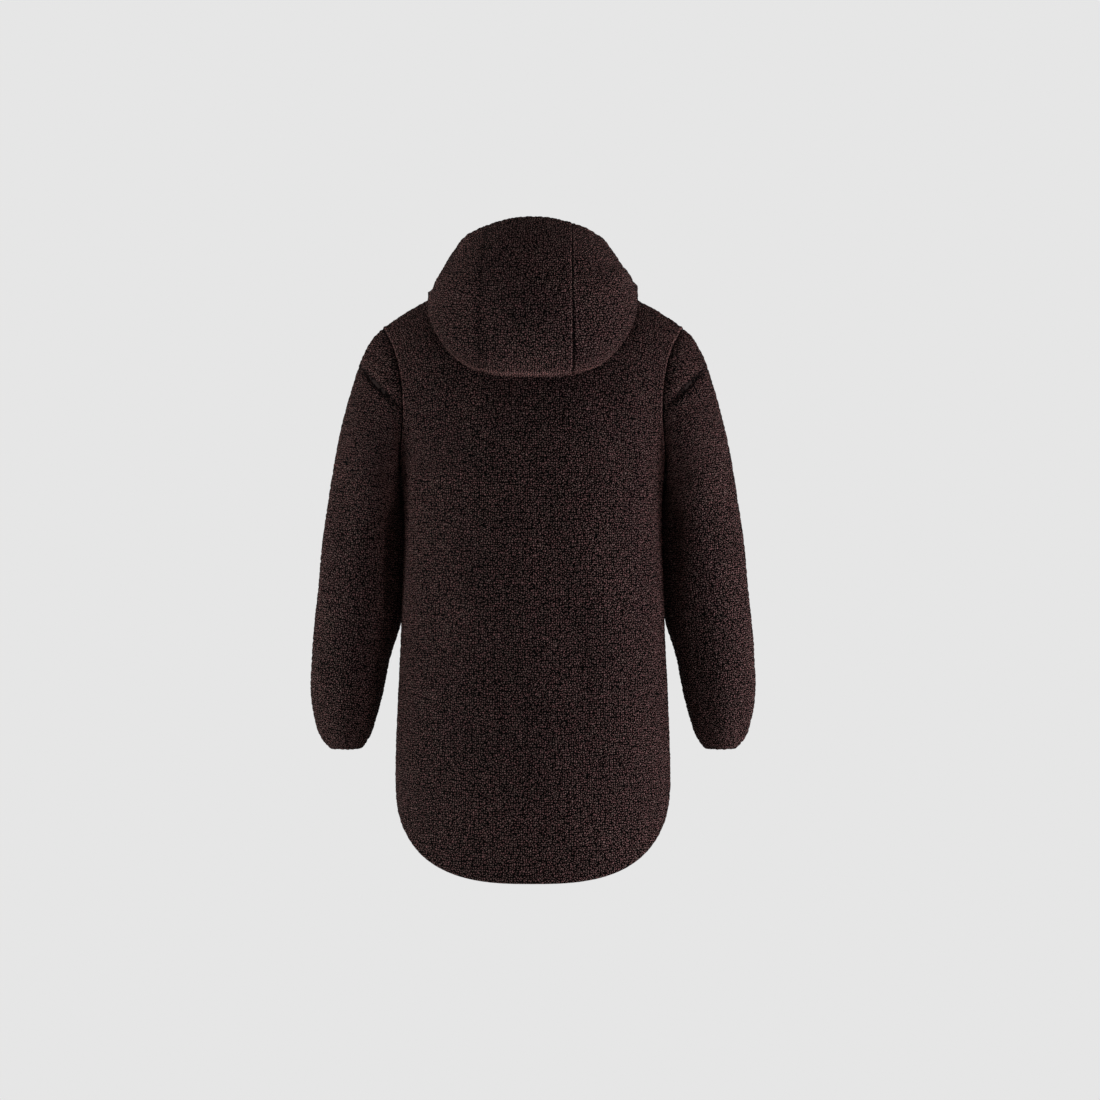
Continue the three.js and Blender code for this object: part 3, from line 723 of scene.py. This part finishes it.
def knit_back():
    material, tree, shader = fresh("fleece_back")
    place = add(tree, "ShaderNodeTexCoord").outputs["Object"]
    rows = add(tree, "ShaderNodeTexWave",
               {"Vector": place, "Scale": 190.0, "Distortion": 1.5, "Detail": 2.0},
               bands_direction="Z")
    fuzz = add(tree, "ShaderNodeTexNoise", {"Vector": place, "Scale": 420.0, "Detail": 4.0})
    patch = add(tree, "ShaderNodeTexNoise", {"Vector": place, "Scale": 14.0, "Detail": 2.0})
    mix = maths(tree, "ADD", maths(tree, "MULTIPLY", fuzz.outputs["Fac"], 0.6),
                maths(tree, "MULTIPLY", patch.outputs["Fac"], 0.4))
    colour = ramp(tree, mix, [(0.3, (0.0070, 0.0044, 0.0042)), (0.7, (0.0180, 0.0118, 0.0112))])
    height = maths(tree, "ADD", maths(tree, "MULTIPLY", rows.outputs["Fac"], 0.5),
                   fuzz.outputs["Fac"])
    bump = add(tree, "ShaderNodeBump", {"Height": height, "Strength": 0.5, "Distance": 0.0006})
    tree.links.new(colour, shader.inputs["Base Color"])
    tree.links.new(bump.outputs["Normal"], shader.inputs["Normal"])
    shader.inputs["Roughness"].default_value = 0.95
    shader.inputs["Specular IOR Level"].default_value = 0.1
    shader.inputs["Sheen Weight"].default_value = 0.1
    shader.inputs["Sheen Tint"].default_value = (0.6, 0.38, 0.32, 1)
    return material


# The pieces.
BELOW, ABOVE = 260, 148
rings = np.concatenate([np.linspace(0, 60, 33)[:-1], np.linspace(60, 500, 201)[:-1],
                        np.linspace(500, 522, 24)])
hood_rows = np.concatenate([np.linspace(0, 180, 65)[:-1], np.linspace(180, 310, 73)[:-1],
                            np.linspace(310, 515, 101)])
# Where the hood cloth turns at its lowest line. The pile is calmer in a band there and its colour
# lifted a little, painted highlight, with a thin painted highlight along the fold's rim.
FOLD = 214
fold_line = bell(hood_rows - FOLD, 9.0)
fold_rim_highlight = 0.6 * bell(hood_rows - FOLD, 2.4)

# Per edge: how dark its line is, with painted shade in the seam's groove; how pale the ridge beside
# it, with painted highlight; and how deep the soft hollow round it, darkened with painted shade.
PANEL_SEAMS = dict(first=(0.1, 1.0, 0.1), last=(0.1, 1.0, 0.1), end=(0.5, 0.3, 0.1))
SLEEVE_SEAMS = dict(start=(0.9, 0, 0.35))
HOOD_SEAMS = {
    "hood_centre": dict(first=(0.2, 0.1, 0.32), last=(0.8, 0.9, 0.1), start=(0.8, 0, 0.3)),
    "hood_right": dict(first=(0.6, 0.7, 0.1), last=(0.6, 0.3, 0.2), start=(0.8, 0, 0.3)),
    "hood_left": dict(last=(0.2, 0.1, 0.32), first=(0.6, 0.3, 0.2), start=(0.8, 0, 0.3)),
}
SHEETS = {}
for piece, side in (("back_panel", -1), ("front_panel", 1)):
    SHEETS[piece] = dict(grid=panel_grid(side, 84, 70, BELOW, ABOVE), closed=False, level=0.64,
                         seams=PANEL_SEAMS)
for piece, hand in (("sleeve_right", 1), ("sleeve_left", -1)):
    SHEETS[piece] = dict(grid=sleeve_grid(hand, 2 * ABOVE, rings), closed=True, level=0.5,
                         seams=SLEEVE_SEAMS)
for piece, columns in (("hood_centre", 60), ("hood_right", 112), ("hood_left", 112)):
    turns = hood_turns(piece, hood_rows, columns)
    at = np.broadcast_to(hood_rows[:, None], turns.shape)
    SHEETS[piece] = dict(grid=hood_points(turns, at), closed=False, level=0.75,
                         seams=HOOD_SEAMS[piece], smooth_and_highlight=fold_line[:, None],
                         edge=fold_rim_highlight[:, None])

for order, s in enumerate(SHEETS.values()):
    s["order"] = order
    s["normal"] = grid_normals(s["grid"], s["closed"])
share_normals(list(SHEETS.values()))

PILE, BACK = fleece(), knit_back()
for name, s in SHEETS.items():
    obj = cloth_mesh(name + "_cloth", s)
    obj.data.materials.append(PILE)
    obj.data.materials.append(BACK)
    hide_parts(name)
    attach(obj, "root")

# Studio: paper sweep, soft lights and the photo's camera.
SKY, PAPER, FLOOR = 0.31, 0.791, -1.25
EYE, LENS = (0.02465, -4.2, -0.3857), 94.8

scene = bpy.context.scene
scene.view_settings.view_transform = "Standard"
world = bpy.data.worlds.new("studio")
world.use_nodes = True
world.node_tree.nodes["Background"].inputs["Color"].default_value = (1, 1, 1, 1)
world.node_tree.nodes["Background"].inputs["Strength"].default_value = SKY
scene.world = world

sweep = []
for k in range(41):
    bend = np.clip((k - 10) / 20, 0, 1) * np.pi / 2
    back = 2.2 + 1.2 * np.sin(bend)
    rise = FLOOR + 1.2 * (1 - np.cos(bend))
    if k < 10:
        back = -6 + 0.82 * k
    if k > 30:
        rise += 0.6 * (k - 30)
    sweep.append((back, rise))
points = [(x, y, z) for y, z in sweep for x in (-7.0, 7.0)]
faces = [(2 * k, 2 * k + 1, 2 * k + 3, 2 * k + 2) for k in range(40)]
mesh = bpy.data.meshes.new("studio_sweep")
mesh.from_pydata(points, [], faces)
mesh.shade_smooth()
floor = bpy.data.objects.new("studio_sweep", mesh)
scene.collection.objects.link(floor)
paper, tree, shader = fresh("pale_paper")
glow = add(tree, "ShaderNodeEmission", {"Color": (PAPER, PAPER, PAPER, 1), "Strength": 1.0})
tree.links.new(glow.outputs[0], tree.nodes["Material Output"].inputs["Surface"])
mesh.materials.append(paper)


def area_light(name, place, aim, size, power, colour=(1, 1, 1)):
    light = bpy.data.lights.new(name, "AREA")
    light.shape = "DISK"
    light.size = size
    light.energy = power
    light.color = colour
    obj = bpy.data.objects.new(name, light)
    scene.collection.objects.link(obj)
    obj.location = place
    obj.rotation_euler = Vector(np.array(aim) - np.array(place)).to_track_quat("-Z", "Y").to_euler()


area_light("key", (-1.2, -2.6, 1.3), (0, 0, 0), 1.2, 3)
area_light("top", (0, -0.6, 1.2), (0, -0.05, 0.1), 0.8, 6)
area_light("fill", (2.2, -3.2, -0.9), (0, 0, -0.6), 1.8, 5)
area_light("low", (1.2, -1.5, -1.0), (0.1, 0, -0.85), 0.4, 14, (0.97, 0.94, 1))
area_light("side_left", (-2.0, -0.25, -0.8), (-0.2, 0, -0.6), 0.6, 41)
area_light("side_right", (2.0, -0.25, -0.95), (0.2, 0, -0.7), 0.6, 48, (0.98, 0.93, 1))

camera = bpy.data.cameras.new("photo_camera")
camera.sensor_width = 36
camera.lens = LENS
camera.clip_end = 50
eye = bpy.data.objects.new("photo_camera", camera)
scene.collection.objects.link(eye)
eye.location = EYE
eye.rotation_euler = (np.pi / 2, 0, 0)
scene.camera = eye
